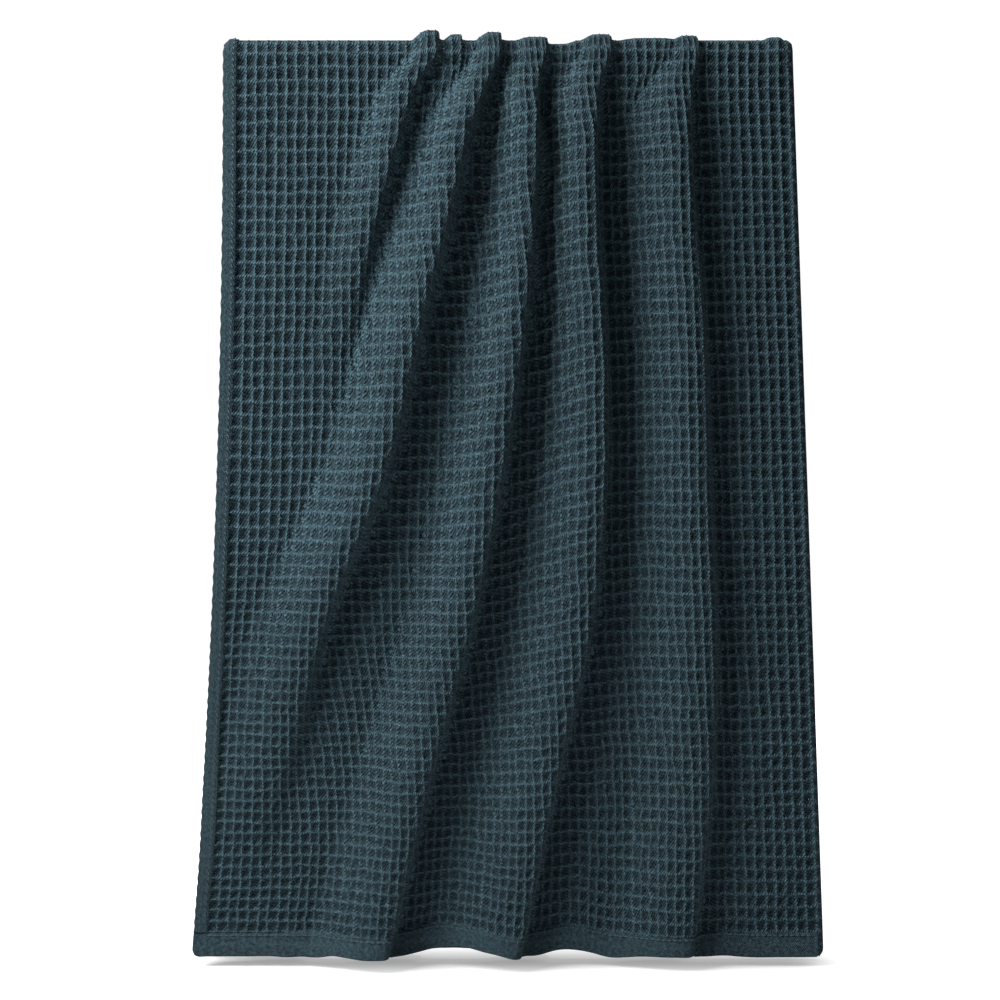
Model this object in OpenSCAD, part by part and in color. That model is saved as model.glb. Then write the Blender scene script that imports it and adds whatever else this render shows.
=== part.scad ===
// Waffle-weave throw, folded in half lengthwise and hung over a rail.
// Origin on the rail's axis at mid width. +X along the rail, +Z up, the front leaf on the -Y side.
// Sizes are in millimetres.

/* [Cloth] */
// Width of the throw opened flat
throw_w = 1270; // [1100:10:1400]
// Length of the throw opened flat
throw_l = 1524; // [1300:2:1700]
// Thickness of one ply of waffle cloth, ribs included
ply_t = 3.6; // [3:0.1:4.2]
// Clearance between two plies that lie together
ply_gap = 0.4; // [0.3:0.1:0.6]

/* [Hang] */
// Radius of the rail in the top fold
rail_r = 8; // [7:0.5:10]
// Width of the folded throw along the rail
top_w = 470; // [440:2:500]
// Width of the folded throw at its bottom hem
hem_w = 521; // [500:1:540]
// Free height between the top fold and each leaf, where the cloth bends
bend_h = 5; // [5:0.5:7]
// How much higher the inner ply's hem hangs than the outer one's
inner_lift = 4; // [2:1:8]

/* [Pleats] */
// Height of the front leaf's pleats above the flat cloth
front_pleat_h = 33; // [20:1:36]
// Height of the back leaf's pleats above the flat cloth
back_pleat_h = 20; // [10:1:24]
// Greatest sideways lean of a pleat for each unit of its height
lean = 0.7; // [0.3:0.05:0.8]
// Width of a pleat's gentle side and of its steep side, as shares of its half width
wide = 1.14; // [1:0.02:1.2]
steep = 0.82; // [0.8:0.02:1]
// The same for the steep side at the hem
steep_foot = 0.56; // [0.5:0.02:1]
// How late down the leaf the left edge flares: 1 is a straight edge
flare = 2.1; // [1:0.1:2.4]
// Height of the inner ply's pleats as a share of the outer ply's
inner_share = 0.3; // [0.2:0.05:0.45]
// Share of the pleat height that is left where the cloth meets the top fold
top_share = 0.3; // [0.2:0.05:0.4]

/* [Hems] */
// Depth of the bottom hem
hem_h = 17; // [12:1:22]
// Width of the side hem
side_hem_w = 11; // [8:1:14]
// How much thicker a hem is than the plain cloth
hem_extra = 1.2; // [0.8:0.1:1.4]
// Width of the side fold that joins the two plies of a leaf
side_fold_w = 4; // [3:0.5:6]
// Clearance between a hem and the ply it edges
seam_gap = 0.12; // [0.1:0.01:0.3]

/* [Thread] */
// Length of one stitch on the surface
stitch_l = 3; // [2:0.5:4]
// Distance from one stitch to the next
stitch_pitch = 5; // [4.5:0.5:8]
// Diameter of the sewing thread
thread_d = 0.8; // [0.5:0.1:1]

/* [Hidden] */

// Radii of the two plies where they pass over the rail
inner_r = rail_r + ply_t;
outer_in_r = inner_r + ply_gap;
outer_r = outer_in_r + ply_t;

// Length of a leaf below the rail's axis: half the throw, less the quarter turn over the rail
drop = throw_l / 2 - PI / 2 * (outer_in_r + ply_t / 2);

// Each pleat: crest places at the heights in ROWS, half width at the top and at the hem,
// height share, and where it starts and ends to fade
FRONT_PLEATS = [
    [[-64, -80, -91, -108, -137, -168, -200, -232, -274], 24, 34, 0.5, 0.1, 0.4],
    [[-12, -22, -35, -49, -76, -105, -156, -195, -254], 27, 62, 1, 0.5, 0.97],
    [[23, 18, 19, 17, 8, -10, -36, -70, -106], 26, 58, 1, 2, 3],
    [[77, 68, 66, 66, 72, 73, 61, 33, 2], 32, 60, 0.92, 2, 3],
    [[150, 143, 141, 143, 151, 155, 160, 157, 141], 38, 62, 0.72, 2, 3],
];
BACK_PLEATS = [
    [[-150, -151, -152, -155, -159, -163, -167, -171, -175], 36, 52, 1, 2, 3],
    [[-64, -65, -66, -67, -70, -73, -76, -79, -82], 34, 50, 0.9, 2, 3],
    [[23, 23, 23, 22, 22, 22, 22, 23, 25], 36, 50, 1, 2, 3],
    [[110, 111, 112, 114, 117, 121, 126, 131, 138], 38, 52, 0.85, 2, 3],
];

// Heights down a leaf at which its section is drawn, as shares of the drop, closer near the fold
ROWS = [0, 0.03, 0.08, 0.16, 0.3, 0.46, 0.63, 0.8, 1];
// Columns of facets between two crests, and the share of the leaf that a pleat reaches to guide them
SPAN_COLUMNS = 13;
GUIDE_REACH = 0.5;
FOLD_FACETS = 96;
LEAF_TOP = -bend_h;
LEAF_FOOT = -drop;
INNER_FOOT = LEAF_FOOT + inner_lift;

cloth_teal = [0.13, 0.24, 0.28];
hem_teal = [0.15, 0.27, 0.31];
thread_teal = [0.25, 0.38, 0.42];

function ramp(x) = x <= 0 ? 0 : x >= 1 ? 1 : x * x * (3 - 2 * x);
function mix(a, b, t) = a + (b - a) * t;
function down(z) = -z / drop;
function right_x(t) = mix(top_w, hem_w, t) / 2;
function left_x(t) = -mix(top_w, hem_w, pow(t, flare)) / 2;

// A pleat grows out of the top fold and may fade before the hem
function pleat_rise(p, t) =
    p[3] * mix(top_share, 1, ramp(t / 0.1)) * (1 - 0.15 * t) * (1 - ramp((t - p[4]) / (p[5] - p[4])));
function crest_x(p, t) = lookup(t, [for (i = [0 : len(ROWS) - 1]) [ROWS[i], p[0][i]]]);
function half_w(p, t) = mix(p[1], p[2], t);
function steep_at(t) = mix(steep, steep_foot, t);
// A pleat leans no further than where its steep side stands straight out
function pleat_lean(p, t, h) =
    min(lean, 0.93 * half_w(p, t) * steep_at(t) / (PI / 2 * max(h * pleat_rise(p, t), 0.01)));
function place(p, x, t, h) =
    let (d = (x - crest_base(p, t, h)) / half_w(p, t)) d < 0 ? d / wide : d / steep_at(t);
function bump(p, x, t, h) =
    let (rise = h * pleat_rise(p, t), d = place(p, x, t, h))
    abs(d) >= 1 ? 0 : rise * (0.5 + 0.5 * cos(180 * d));
function bump_slope(p, x, t, h) =
    let (rise = h * pleat_rise(p, t), d = place(p, x, t, h), w = half_w(p, t) * (d < 0 ? wide : steep_at(t)))
    abs(d) >= 1 ? 0 : -rise * PI / 2 / w * sin(180 * d);
function sum(v, i = 0) = i == len(v) ? 0 : v[i] + sum(v, i + 1);
function proud(pleats, x, t, h) = sum([for (p = pleats) bump(p, x, t, h)]);
function slope(pleats, x, t, h) = sum([for (p = pleats) bump_slope(p, x, t, h)]);
function shift(pleats, x, t, h) = sum([for (p = pleats) pleat_lean(p, t, h) * bump(p, x, t, h)]);
function pull(pleats, x, t, h) = sum([for (p = pleats) pleat_lean(p, t, h) * bump_slope(p, x, t, h)]);

// Columns follow the crests of the long pleats, so that the facets run along each pleat
function crest_base(p, t, h) = crest_x(p, t) - pleat_lean(p, t, h) * h * pleat_rise(p, t);
function guides(pleats) = [for (p = pleats) if (p[5] > GUIDE_REACH) p];
function knots(pleats, z, h, from_x, to_x) =
    concat([from_x(z)], [for (p = guides(pleats)) crest_base(p, down(z), h)], [to_x(z)]);
function column_count(pleats) = SPAN_COLUMNS * (len(guides(pleats)) + 1);
function column_x(k, i) =
    let (span = min(floor(i / SPAN_COLUMNS), len(k) - 2))
    mix(k[span], k[span + 1], i / SPAN_COLUMNS - span);

// A point of the leaf's section: x before the pleats lean, z, the base plane, the depth into the cloth,
// and the share of the pleats' height that this ply takes up
function leaf_point(pleats, x, z, base, depth, h, share = 1) =
    let (
        t = down(z),
        up = share * proud(pleats, x, t, h),
        along = [1 + share * pull(pleats, x, t, h), share * slope(pleats, x, t, h)],
        out = [-along[1], along[0]] / norm(along)
    )
    [x + share * shift(pleats, x, t, h) - out[0] * depth, -(base + up - out[1] * depth), z];

// A closed sheet between two depths, over a range of rows and of the leaf's width.
// from_x and to_x give the sheet's edges at a height z. A narrow strip has its own few columns.
module sheet(pleats, h, base, front, back, top, foot, from_x, to_x, strip = 0, rows = ROWS, share = 1) {
    faces_at = [front, back];
    columns = strip > 0 ? strip : column_count(pleats);
    n = columns + 1;
    m = len(rows);
    points = [
        for (d = faces_at)
            for (r = rows)
                let (z = mix(top, foot, r), k = knots(pleats, z, h, from_x, to_x))
                for (i = [0 : columns])
                    let (x = strip > 0 ? mix(from_x(z), to_x(z), i / columns) : column_x(k, i))
                    leaf_point(pleats, x, z, base, d, h, share)
    ];
    layer = n * m;
    faces = concat(
        [for (j = [0 : m - 2]) for (i = [0 : columns - 1])
            for (f = quad(j * n + i, j * n + i + 1, (j + 1) * n + i + 1, (j + 1) * n + i)) f],
        [for (j = [0 : m - 2]) for (i = [0 : columns - 1])
            for (f = quad(layer + (j + 1) * n + i, layer + (j + 1) * n + i + 1,
                layer + j * n + i + 1, layer + j * n + i)) f],
        [for (i = [0 : columns - 1])
            for (f = quad(layer + i, layer + i + 1, i + 1, i)) f],
        [for (i = [0 : columns - 1])
            for (f = quad((m - 1) * n + i, (m - 1) * n + i + 1,
                layer + (m - 1) * n + i + 1, layer + (m - 1) * n + i)) f],
        [for (j = [0 : m - 2])
            for (f = quad(layer + j * n, j * n, (j + 1) * n, layer + (j + 1) * n)) f],
        [for (j = [0 : m - 2])
            for (f = quad(layer + j * n + columns, layer + (j + 1) * n + columns,
                (j + 1) * n + columns, j * n + columns)) f]
    );
    polyhedron(points, faces, convexity = 10);
}

// Rows that put the inner ply's sections at the same heights as the outer one's
INNER_ROWS = [for (r = ROWS)
    min(1, r * (LEAF_TOP - LEAF_FOOT - hem_h - seam_gap) / (LEAF_TOP - INNER_FOOT - hem_h - seam_gap))];

function quad(a, b, c, d) = [[a, b, c], [a, c, d]];

left = function (z) left_x(down(z));
left_hem = function (z) left_x(down(z)) + side_hem_w;
side_hem_end = function (z) left_hem(z) - seam_gap;
right_fold = function (z) right_x(down(z)) - side_fold_w;
right = function (z) right_x(down(z));

// One turn of cloth over the rail
module over_rail(r_in, r_out) {
    rotate([0, 90, 0])
        rotate_extrude(angle = 180, start = 90, $fn = FOLD_FACETS)
            translate([r_in, -top_w / 2])
                square([r_out - r_in, top_w]);
}

module top_fold_outer() {
    color(cloth_teal) over_rail(outer_in_r, outer_r);
}

module top_fold_inner() {
    color(cloth_teal) over_rail(rail_r, inner_r);
}

// The plies of a leaf, from the side hem to the side fold and from the top to the hem
module outer_ply(pleats, h) {
    sheet(pleats, h, outer_r, 0, ply_t, LEAF_TOP, LEAF_FOOT + hem_h + seam_gap, left_hem, right_fold);
}

module inner_ply(pleats, h) {
    sheet(pleats, h, inner_r, 0, ply_t, LEAF_TOP, INNER_FOOT + hem_h + seam_gap,
        left_hem, right_fold, rows = INNER_ROWS, share = inner_share);
}

module outer_hem(pleats, h) {
    sheet(pleats, h, outer_r, -hem_extra, ply_t, LEAF_FOOT + hem_h, LEAF_FOOT,
        left, right_fold, rows = [0, 1]);
}

module inner_hem(pleats, h) {
    sheet(pleats, h, inner_r, 0, ply_t + hem_extra, INNER_FOOT + hem_h, INNER_FOOT,
        left, right_fold, rows = [0, 1], share = inner_share);
}

module outer_side_hem(pleats, h) {
    sheet(pleats, h, outer_r, -hem_extra, ply_t, LEAF_TOP, LEAF_FOOT + hem_h + seam_gap,
        left, side_hem_end, 4);
}

module inner_side_hem(pleats, h) {
    sheet(pleats, h, inner_r, 0, ply_t + hem_extra, LEAF_TOP, INNER_FOOT + hem_h + seam_gap,
        left, side_hem_end, 4, rows = INNER_ROWS, share = inner_share);
}

module side_fold(pleats, h) {
    sheet(pleats, h, outer_r, 0, outer_r - rail_r, LEAF_TOP, LEAF_FOOT, right_fold, right, 2);
}

// A run of stitches along the bottom hem of the outer ply
module hem_thread(pleats, h) {
    z = LEAF_FOOT + hem_h - 1.5 * thread_d;
    count = floor((hem_w - 4 * stitch_pitch) / stitch_pitch);
    for (i = [0 : count - 1]) {
        x = -hem_w / 2 + 2 * stitch_pitch + i * stitch_pitch;
        at = leaf_point(pleats, x, z, outer_r, -hem_extra, h);
        turn = atan2(slope(pleats, x, down(z), h), 1 + pull(pleats, x, down(z), h));
        translate(at)
            rotate([0, 0, -turn])
                cube([stitch_l, thread_d, thread_d], center = true);
    }
}

// A run of stitches down the side hem of the outer ply
module side_thread(pleats, h) {
    count = floor((drop - hem_h - bend_h - 4 * stitch_pitch) / stitch_pitch);
    for (i = [0 : count - 1]) {
        z = LEAF_TOP - 2 * stitch_pitch - i * stitch_pitch;
        x = left_hem(z) - 2 * thread_d;
        at = leaf_point(pleats, x, z, outer_r, -hem_extra, h);
        translate(at)
            cube([thread_d, thread_d, stitch_l], center = true);
    }
}

module to_back() {
    mirror([0, 1, 0]) children();
}

module front_outer_ply() {
    color(cloth_teal) outer_ply(FRONT_PLEATS, front_pleat_h);
}

module front_inner_ply() {
    color(cloth_teal) inner_ply(FRONT_PLEATS, front_pleat_h);
}

module front_side_fold() {
    color(cloth_teal) side_fold(FRONT_PLEATS, front_pleat_h);
}

module front_outer_hem() {
    color(hem_teal) outer_hem(FRONT_PLEATS, front_pleat_h);
}

module front_inner_hem() {
    color(hem_teal) inner_hem(FRONT_PLEATS, front_pleat_h);
}

module front_outer_side_hem() {
    color(hem_teal) outer_side_hem(FRONT_PLEATS, front_pleat_h);
}

module front_inner_side_hem() {
    color(hem_teal) inner_side_hem(FRONT_PLEATS, front_pleat_h);
}

module front_hem_thread() {
    color(thread_teal) hem_thread(FRONT_PLEATS, front_pleat_h);
}

module front_side_thread() {
    color(thread_teal) side_thread(FRONT_PLEATS, front_pleat_h);
}

module back_outer_ply() {
    color(cloth_teal) to_back() outer_ply(BACK_PLEATS, back_pleat_h);
}

module back_inner_ply() {
    color(cloth_teal) to_back() inner_ply(BACK_PLEATS, back_pleat_h);
}

module back_side_fold() {
    color(cloth_teal) to_back() side_fold(BACK_PLEATS, back_pleat_h);
}

module back_outer_hem() {
    color(hem_teal) to_back() outer_hem(BACK_PLEATS, back_pleat_h);
}

module back_inner_hem() {
    color(hem_teal) to_back() inner_hem(BACK_PLEATS, back_pleat_h);
}

module back_outer_side_hem() {
    color(hem_teal) to_back() outer_side_hem(BACK_PLEATS, back_pleat_h);
}

module back_inner_side_hem() {
    color(hem_teal) to_back() inner_side_hem(BACK_PLEATS, back_pleat_h);
}

module back_hem_thread() {
    color(thread_teal) to_back() hem_thread(BACK_PLEATS, back_pleat_h);
}

module back_side_thread() {
    color(thread_teal) to_back() side_thread(BACK_PLEATS, back_pleat_h);
}

top_fold_outer();
top_fold_inner();
front_outer_ply();
front_inner_ply();
front_side_fold();
front_outer_hem();
front_inner_hem();
front_outer_side_hem();
front_inner_side_hem();
front_hem_thread();
front_side_thread();
back_outer_ply();
back_inner_ply();
back_side_fold();
back_outer_hem();
back_inner_hem();
back_outer_side_hem();
back_inner_side_hem();
back_hem_thread();
back_side_thread();
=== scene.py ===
"""Waffle-weave throw, folded lengthwise and hung over a rail: visual model and plain studio stage.

Lengths are in metres, in the CAD frame: origin on the rail's axis, +X along the rail, +Z up, and the
front leaf on -Y. Each ply is a closed sheet on a grid that follows the cloth's own ribs, and a node
tree presses the waffle into it.
"""

import math
from typing import NamedTuple

import bpy
import numpy as np
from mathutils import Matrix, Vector


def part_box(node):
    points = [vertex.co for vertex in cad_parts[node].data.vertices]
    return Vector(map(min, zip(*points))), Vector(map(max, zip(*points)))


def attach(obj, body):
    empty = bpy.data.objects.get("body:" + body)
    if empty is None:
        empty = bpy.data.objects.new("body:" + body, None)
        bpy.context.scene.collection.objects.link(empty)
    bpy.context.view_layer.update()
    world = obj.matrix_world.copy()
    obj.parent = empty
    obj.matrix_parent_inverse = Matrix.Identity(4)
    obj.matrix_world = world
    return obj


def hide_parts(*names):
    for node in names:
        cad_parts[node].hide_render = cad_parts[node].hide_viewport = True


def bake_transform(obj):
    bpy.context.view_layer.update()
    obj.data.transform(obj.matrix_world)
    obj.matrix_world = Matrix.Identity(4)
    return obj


bl_info = {
    "name": "Waffle Throw",
    "version": (1, 0, 0),
    "blender": (4, 5, 0),
    "location": "View3D > Sidebar > Throw",
    "description": "Builds a folded waffle-weave throw that hangs over a rail",
    "category": "Add Mesh",
}

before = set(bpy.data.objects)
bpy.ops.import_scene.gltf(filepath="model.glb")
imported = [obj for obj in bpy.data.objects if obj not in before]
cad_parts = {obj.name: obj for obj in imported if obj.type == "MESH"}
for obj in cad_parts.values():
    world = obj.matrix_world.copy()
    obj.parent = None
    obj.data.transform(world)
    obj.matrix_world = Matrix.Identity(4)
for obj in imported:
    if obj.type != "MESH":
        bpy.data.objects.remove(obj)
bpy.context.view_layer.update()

# Thickness of the cloth
CLOTH_T = 0.0036
# Size of one waffle cell in flat cloth
CELL_WIDTH = 0.0082
CELL_HEIGHT = 0.0107

# Places read from the CAD frame: the rail's and the cloth's radii, half widths at top and foot, the foot
OUTER_R = -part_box("top_fold_outer")[0].y
INNER_R = -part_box("top_fold_inner")[0].y
RAIL_R = INNER_R - CLOTH_T
TOP_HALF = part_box("top_fold_outer")[1].x
HEM_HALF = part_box("front_inner_hem")[1].x + 0.004
FOOT_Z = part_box("front_outer_hem")[0].z
DROP = -FOOT_Z
# Cloth from the crown over the rail to where a leaf starts to hang, and to the foot
QUARTER = math.pi / 2 * OUTER_R
TOTAL = QUARTER + DROP


class Pleat(NamedTuple):
    """A long pleat of a leaf. Lengths in metres, fades as shares of the drop."""

    crests: tuple
    half_top: float
    half_foot: float
    share: float
    fade_from: float
    fade_to: float
    crown_height: float
    crown_half: float
    hidden: float


class Bump(NamedTuple):
    """A short pleat over the rail that dies out just below it."""

    crest: float
    slope: float
    height: float
    half: float


# Shares of the drop at which the crests of the pleats are given
LEVELS = (0.0, 0.03, 0.08, 0.16, 0.30, 0.46, 0.63, 0.80, 1.0)
FRONT_PLEATS = (
    Pleat(
        (-0.064, -0.080, -0.091, -0.108, -0.137, -0.168, -0.200, -0.232, -0.274),
        0.024, 0.034, 0.50, 0.10, 0.40, 0.0085, 0.016, 0.018,
    ),
    Pleat(
        (-0.012, -0.022, -0.035, -0.049, -0.076, -0.105, -0.156, -0.195, -0.254),
        0.027, 0.062, 1.00, 0.50, 0.97, 0.0070, 0.015, 0.038,
    ),
    Pleat(
        (0.023, 0.018, 0.019, 0.017, 0.008, -0.010, -0.036, -0.070, -0.106),
        0.026, 0.058, 1.00, 2.00, 3.00, 0.0030, 0.020, 0.036,
    ),
    Pleat(
        (0.077, 0.068, 0.066, 0.066, 0.072, 0.073, 0.061, 0.033, 0.002),
        0.032, 0.060, 0.92, 2.00, 3.00, 0.0052, 0.018, 0.036,
    ),
    Pleat(
        (0.150, 0.143, 0.141, 0.143, 0.151, 0.155, 0.160, 0.157, 0.141),
        0.038, 0.062, 0.72, 2.00, 3.00, 0.0040, 0.014, 0.030,
    ),
)
BACK_PLEATS = (
    Pleat(
        (-0.150, -0.151, -0.152, -0.155, -0.159, -0.163, -0.167, -0.171, -0.175),
        0.036, 0.052, 1.00, 2.00, 3.00, 0.0000, 0.030, 0.036,
    ),
    Pleat(
        (-0.064, -0.065, -0.066, -0.067, -0.070, -0.073, -0.076, -0.079, -0.082),
        0.034, 0.050, 0.90, 2.00, 3.00, 0.0000, 0.030, 0.036,
    ),
    Pleat(
        (0.023, 0.023, 0.023, 0.022, 0.022, 0.022, 0.022, 0.023, 0.025),
        0.036, 0.050, 1.00, 2.00, 3.00, 0.0000, 0.030, 0.036,
    ),
    Pleat(
        (0.110, 0.111, 0.112, 0.114, 0.117, 0.121, 0.126, 0.131, 0.138),
        0.038, 0.052, 0.85, 2.00, 3.00, 0.0000, 0.030, 0.036,
    ),
)
CROWN_BUMPS = (
    Bump(-0.043, -0.100, 0.0052, 0.011),
    Bump(0.041, 0.000, -0.0030, 0.018),
    Bump(0.222, 0.000, 0.0026, 0.012),
    Bump(0.118, 0.000, 0.0020, 0.034),
)
# Where the hem is drawn up: place, half width and height
DRAWN = ((-0.052, 0.046, 0.0080), (0.050, 0.040, 0.0062), (0.180, 0.030, 0.0010))
# Height of the pleats of each leaf
FRONT_H = 0.033
BACK_H = 0.020
# Most a pleat leans to its steep side, for each unit of height
LEAN = 0.7
# Share of its half width that a pleat's long side takes, and its steep side at the top and the foot
WIDE = 0.84
STEEP = 0.80
STEEP_FOOT = 0.52
# Roundness of the crests on the leaf, and how much more of it there is over the rail
ROUND = 1.25
ROUND_CROWN = 1.1
# How late the left edge spreads, and the cloth below the rail in which pleats reach full height
FLARE = 2.1
GROW = 0.075
# The inner ply ends this much higher, and follows this share of each pleat
INNER_LIFT = 0.004
INNER_SHARE = 0.3
# Distance from one stitch to the next, on the bottom hem and on the side hem
HEM_STITCH = 0.0046
SIDE_STITCH = 0.0050
# The middle of the side fold lies this far inside the right edge
FOLD_IN = 0.0042
# Thickness of a side hem, a bottom hem and the side fold, and how far the fold stands out
SIDE_HEM_T = 0.0048
HEM_T = 0.0046
FOLD_T = 0.0030
FOLD_OUT = 0.0046
# How much lower an outer hem hangs between its pleats, and the front side fold beside it
HEM_LOWER = 0.0034
FOLD_LOWER = 0.0030
# Radius of the hem's corners, at the side hem and at the fold
CORNERS = (0.007, 0.002)
# Cloth below the rail in which the bumps over it die out
BUMP_REACH = 0.04
# Mesh lines across each cell of a bottom hem, and down a hem or across a side hem
HEM_COLUMNS = 6
HEM_LINES = 13
# Wander of the ribs across the cloth: amount, pace and start down the cloth, pace and start across, seed
WANDER = (
    (0.00060, 0.45, 9.0, 0.9, 0.0, 1),
    (0.00055, 1.1, 2.0, 1.0, 7.0, 8),
    (0.00035, 2.3, 4.0, 1.7, 3.0, 10),
)
# Places of the mesh lines in each cell, on the visible plies and on the hidden ones
CELL_STEPS = (0.0, 0.09, 0.24, 0.5, 0.76, 0.91)
COARSE_STEPS = (0.0, 0.25, 0.5, 0.75)


# ---------------------------------------------------------------- settings


class ThrowSettings(bpy.types.PropertyGroup):
    """Sizes and colours of the throw"""

    columns: bpy.props.IntProperty(
        name="Columns", description="Waffle columns across one ply", default=76
    )
    rows: bpy.props.IntProperty(name="Rows", description="Waffle rows down one ply", default=72)
    relief: bpy.props.FloatProperty(
        name="Relief", description="Depth of a waffle pit", default=0.0032, unit="LENGTH"
    )
    sharpness: bpy.props.FloatProperty(
        name="Rib sharpness", description="How thin the ribs are", default=3.0
    )
    hem: bpy.props.FloatProperty(
        name="Hem", description="Depth of the bottom hem", default=0.017, unit="LENGTH"
    )
    side_hem: bpy.props.FloatProperty(
        name="Side hem", description="Width of the side hem", default=0.011, unit="LENGTH"
    )
    lint: bpy.props.FloatProperty(name="Lint", description="Flecks on each square metre", default=260.0)
    seed: bpy.props.IntProperty(name="Seed", description="Seed of the cloth's irregularity", default=7)
    rib_colour: bpy.props.FloatVectorProperty(
        name="Rib colour", description="Colour of the raised ribs", subtype="COLOR", size=3,
        default=(0.064, 0.119, 0.147),
    )
    # The pit colour is the cloth's colour darkened with painted shade in the waffle pits
    shaded_pit_colour: bpy.props.FloatVectorProperty(
        name="Pit colour", description="Colour of the cloth in the pits", subtype="COLOR", size=3,
        default=(0.019, 0.036, 0.046),
    )
    thread_colour: bpy.props.FloatVectorProperty(
        name="Thread colour", description="Colour of the sewing thread", subtype="COLOR", size=3,
        default=(0.060, 0.108, 0.132),
    )
    lint_colour: bpy.props.FloatVectorProperty(
        name="Lint colour", description="Colour of the loose fibres", subtype="COLOR", size=3,
        default=(0.22, 0.30, 0.36),
    )


# ---------------------------------------------------------------- cloth shape


def ramp(x):
    """Smooth step from 0 to 1."""
    x = np.clip(x, 0.0, 1.0)
    return x * x * (3.0 - 2.0 * x)


def value_noise(x, y, seed):
    """Smooth noise from -1 to 1, one lattice point for each unit of x and y."""
    table = np.random.default_rng(seed).uniform(-1.0, 1.0, (64, 64))
    x0 = np.floor(x).astype(int)
    y0 = np.floor(y).astype(int)
    fx = ramp(x - x0)
    fy = ramp(y - y0)
    a = table[x0 % 64, y0 % 64]
    b = table[(x0 + 1) % 64, y0 % 64]
    c = table[x0 % 64, (y0 + 1) % 64]
    d = table[(x0 + 1) % 64, (y0 + 1) % 64]
    return (a * (1 - fx) + b * fx) * (1 - fy) + (c * (1 - fx) + d * fx) * fy


def crest_line(places):
    """Smooth curve through the crest's places at LEVELS, as a dense table."""
    levels = np.array(LEVELS)
    places = np.array(places)
    slope = np.gradient(places, levels)
    t = np.linspace(0.0, 1.1, 221)
    i = np.clip(np.searchsorted(levels, t, "right") - 1, 0, len(levels) - 2)
    gap = levels[i + 1] - levels[i]
    s = np.minimum((t - levels[i]) / gap, 1.0)
    a = (1.0 + 2.0 * s) * (1.0 - s) ** 2 * places[i] + s * (1.0 - s) ** 2 * gap * slope[i]
    b = s * s * (3.0 - 2.0 * s) * places[i + 1] + s * s * (s - 1.0) * gap * slope[i + 1]
    return t, a + b


def steep_at(t):
    """Share of its half width that a pleat's steep side takes, at a share t of the drop."""
    return STEEP + (STEEP_FOOT - STEEP) * np.clip(t, 0.0, 1.0)


def lean_of(half, rise, steep, power):
    """Sideways lean for each unit of a pleat's height, up to where its steep side stands straight out."""
    peak = (0.5 + 0.5 * power) * np.pi / 2
    return np.minimum(LEAN, 0.97 * half * steep / (peak * np.maximum(np.abs(rise), 1e-5)))


def wave_of(d, power):
    """Height of a pleat of height 1 at d half widths from its crest, and its slope there."""
    far = np.minimum(np.abs(d), 1.0)
    angle = np.pi * far ** power
    slope = -np.pi / 2 * power * far ** (power - 1.0) * np.sin(angle) * np.sign(d)
    return 0.5 + 0.5 * np.cos(angle), slope


class Leaf:
    """One side of the hanging throw. q is the way down the cloth from the crown over the rail."""

    def __init__(self, side, pleats, height, over_rail, seed):
        self.side = side
        self.pleats = pleats
        self.lines = [crest_line(p.crests) for p in pleats]
        self.height = height
        self.over_rail = over_rail
        self.seed = seed

    def terms(self, q):
        """(crest, half width, rise, hidden cloth, lean, steep, power) of every pleat at q."""
        t = drop_share(q)
        steep = steep_at(t)
        grow = ramp(q / (QUARTER + GROW))
        power = ROUND + ROUND_CROWN * (1.0 - grow)
        found = []
        for p, line in zip(self.pleats, self.lines):
            fade = 1.0 - ramp((t - p.fade_from) / (p.fade_to - p.fade_from))
            full = self.height * p.share * (1.0 - 0.15 * t) * fade
            rise = p.crown_height * (1.0 - grow) + full * grow
            crest = np.interp(t, *line)
            half = (p.half_top + (p.half_foot - p.half_top) * t) * grow + p.crown_half * (1.0 - grow)
            lean = lean_of(half, rise, steep, power)
            found.append((crest, half, rise, p.hidden * fade, lean, steep, power))
        for p in self.over_rail:
            rise = p.height * (1.0 - ramp(q / (QUARTER + BUMP_REACH)))
            crest = p.crest + p.slope * t
            half = p.half + 0.0 * t
            lean = lean_of(half, rise, steep, power)
            found.append((crest, half, rise, 0.0 * t, lean, steep, power))
        return found

    def lift(self, x, q):
        """Height, slope, shift and shift's slope of the pleated cloth at q. x is its place unleaned."""
        up = np.zeros(np.broadcast(x, q).shape)
        slope = np.zeros_like(up)
        shift = np.zeros_like(up)
        pull = np.zeros_like(up)
        for crest, half, rise, _, lean, steep, power in self.terms(q):
            d = (x - crest + lean * rise) / half
            side = np.where(d < 0, WIDE - 0.10 * (power - ROUND), steep)
            d = d / side
            wave, rate = wave_of(d, power)
            bump = rise * wave
            rate = rise * rate / (half * side)
            up += bump
            slope += rate
            shift += lean * bump
            pull += lean * rate
        return up, slope, shift, pull

    def across(self, columns, q_levels, from_x, to_x):
        """Table of x for each whole and part column at each q, from the cloth's own length."""
        table = np.zeros((len(columns), len(q_levels)))
        for k, q in enumerate(q_levels):
            x = np.linspace(from_x(q), to_x(q), 1400)
            _, slope, _, pull = self.lift(x, np.full_like(x, q))
            run = np.sqrt((1 + pull) ** 2 + slope ** 2)
            length = np.concatenate(([0.0], np.cumsum((run[1:] + run[:-1]) / 2 * np.diff(x))))
            for crest, half, rise, hidden, lean, _, _ in self.terms(np.full(1, q)):
                used = taken_up(float(half[0]), float(rise[0]), float(lean[0]))
                excess = max(float(hidden[0]) - used, 0.0)
                base = float(crest[0]) - float(lean[0]) * float(rise[0])
                half = float(half[0])
                length += 0.62 * excess * np.clip((x - base) / (1.3 * half) + 0.9, 0.0, 1.0)
                length += 0.38 * excess * ramp((x - base - 0.1 * half) / (0.7 * half))
            length -= length[0]
            table[:, k] = np.interp(columns * length[-1], length, x)
        return table


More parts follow.
